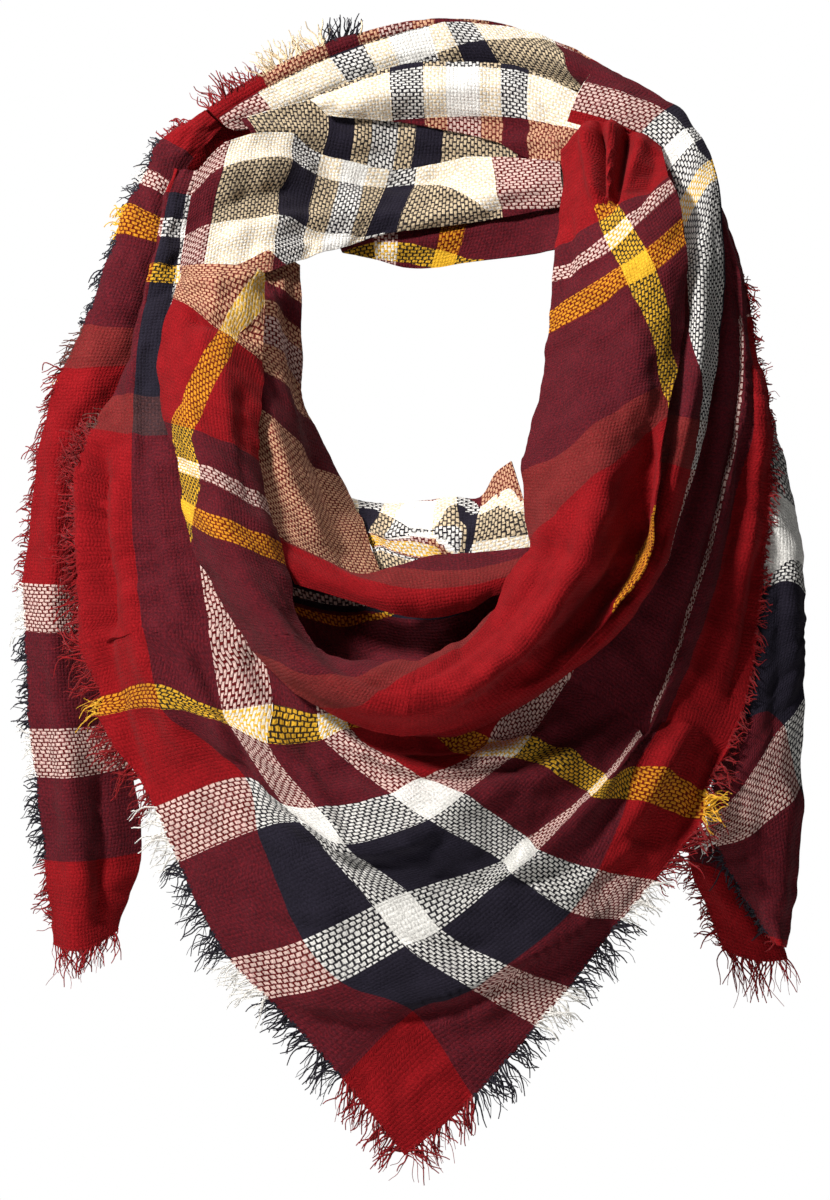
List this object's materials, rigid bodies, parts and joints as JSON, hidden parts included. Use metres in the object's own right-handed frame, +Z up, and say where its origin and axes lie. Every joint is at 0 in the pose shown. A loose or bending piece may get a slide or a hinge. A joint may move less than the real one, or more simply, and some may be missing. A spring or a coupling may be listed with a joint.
{
  "type": "tartan blanket scarf",
  "caption": "Square tartan blanket scarf with an eyelash fringe, folded to a triangle and wound round the neck, its point in front and an end hanging at each side.",
  "frame": {"origin": "where the inside of the winding bears on the back of the neck, at the neck_rest mount", "axes": "+Z up as worn, +Y to the wearer's back, so the point of the bib hangs in front towards -Y and -Z; +X to the right of someone facing the scarf"},
  "size_m": [0.48, 0.301, 0.7002],
  "materials": {
    "tartan_cloth": "brushed acrylic plain weave, matt, with a soft nap",
    "fringe_yarn": "loose unravelled acrylic yarn ends, matt"
  },
  "bodies": {
    "root": {"left_roll": "tartan_cloth", "cowl_lip": "tartan_cloth", "right_roll": "tartan_cloth", "cowl_inner": "tartan_cloth", "right_fold": "tartan_cloth", "bib_front": "tartan_cloth", "back_lower": "tartan_cloth", "bib_left": "tartan_cloth", "bib_right": "tartan_cloth", "inner_left": "tartan_cloth", "inner_band": "tartan_cloth", "cowl_shadow": "tartan_cloth", "back_middle": "tartan_cloth", "back_inner": "tartan_cloth", "back_valley": "tartan_cloth", "back_upper": "tartan_cloth", "back_edge": "tartan_cloth", "fringe_tip_left": "fringe_yarn", "fringe_side_left": "fringe_yarn", "fringe_side_right": "fringe_yarn", "left_tail": "tartan_cloth", "right_tail": "tartan_cloth", "back_outer": "tartan_cloth", "fringe_tip_right": "fringe_yarn", "fringe_tail_left": "fringe_yarn", "fringe_back": "fringe_yarn", "fringe_tail_left_end": "fringe_yarn", "fringe_tail_right": "fringe_yarn", "right_tail_corner": "tartan_cloth", "fringe_tail_right_side": "fringe_yarn"}
  },
  "joints": []
}
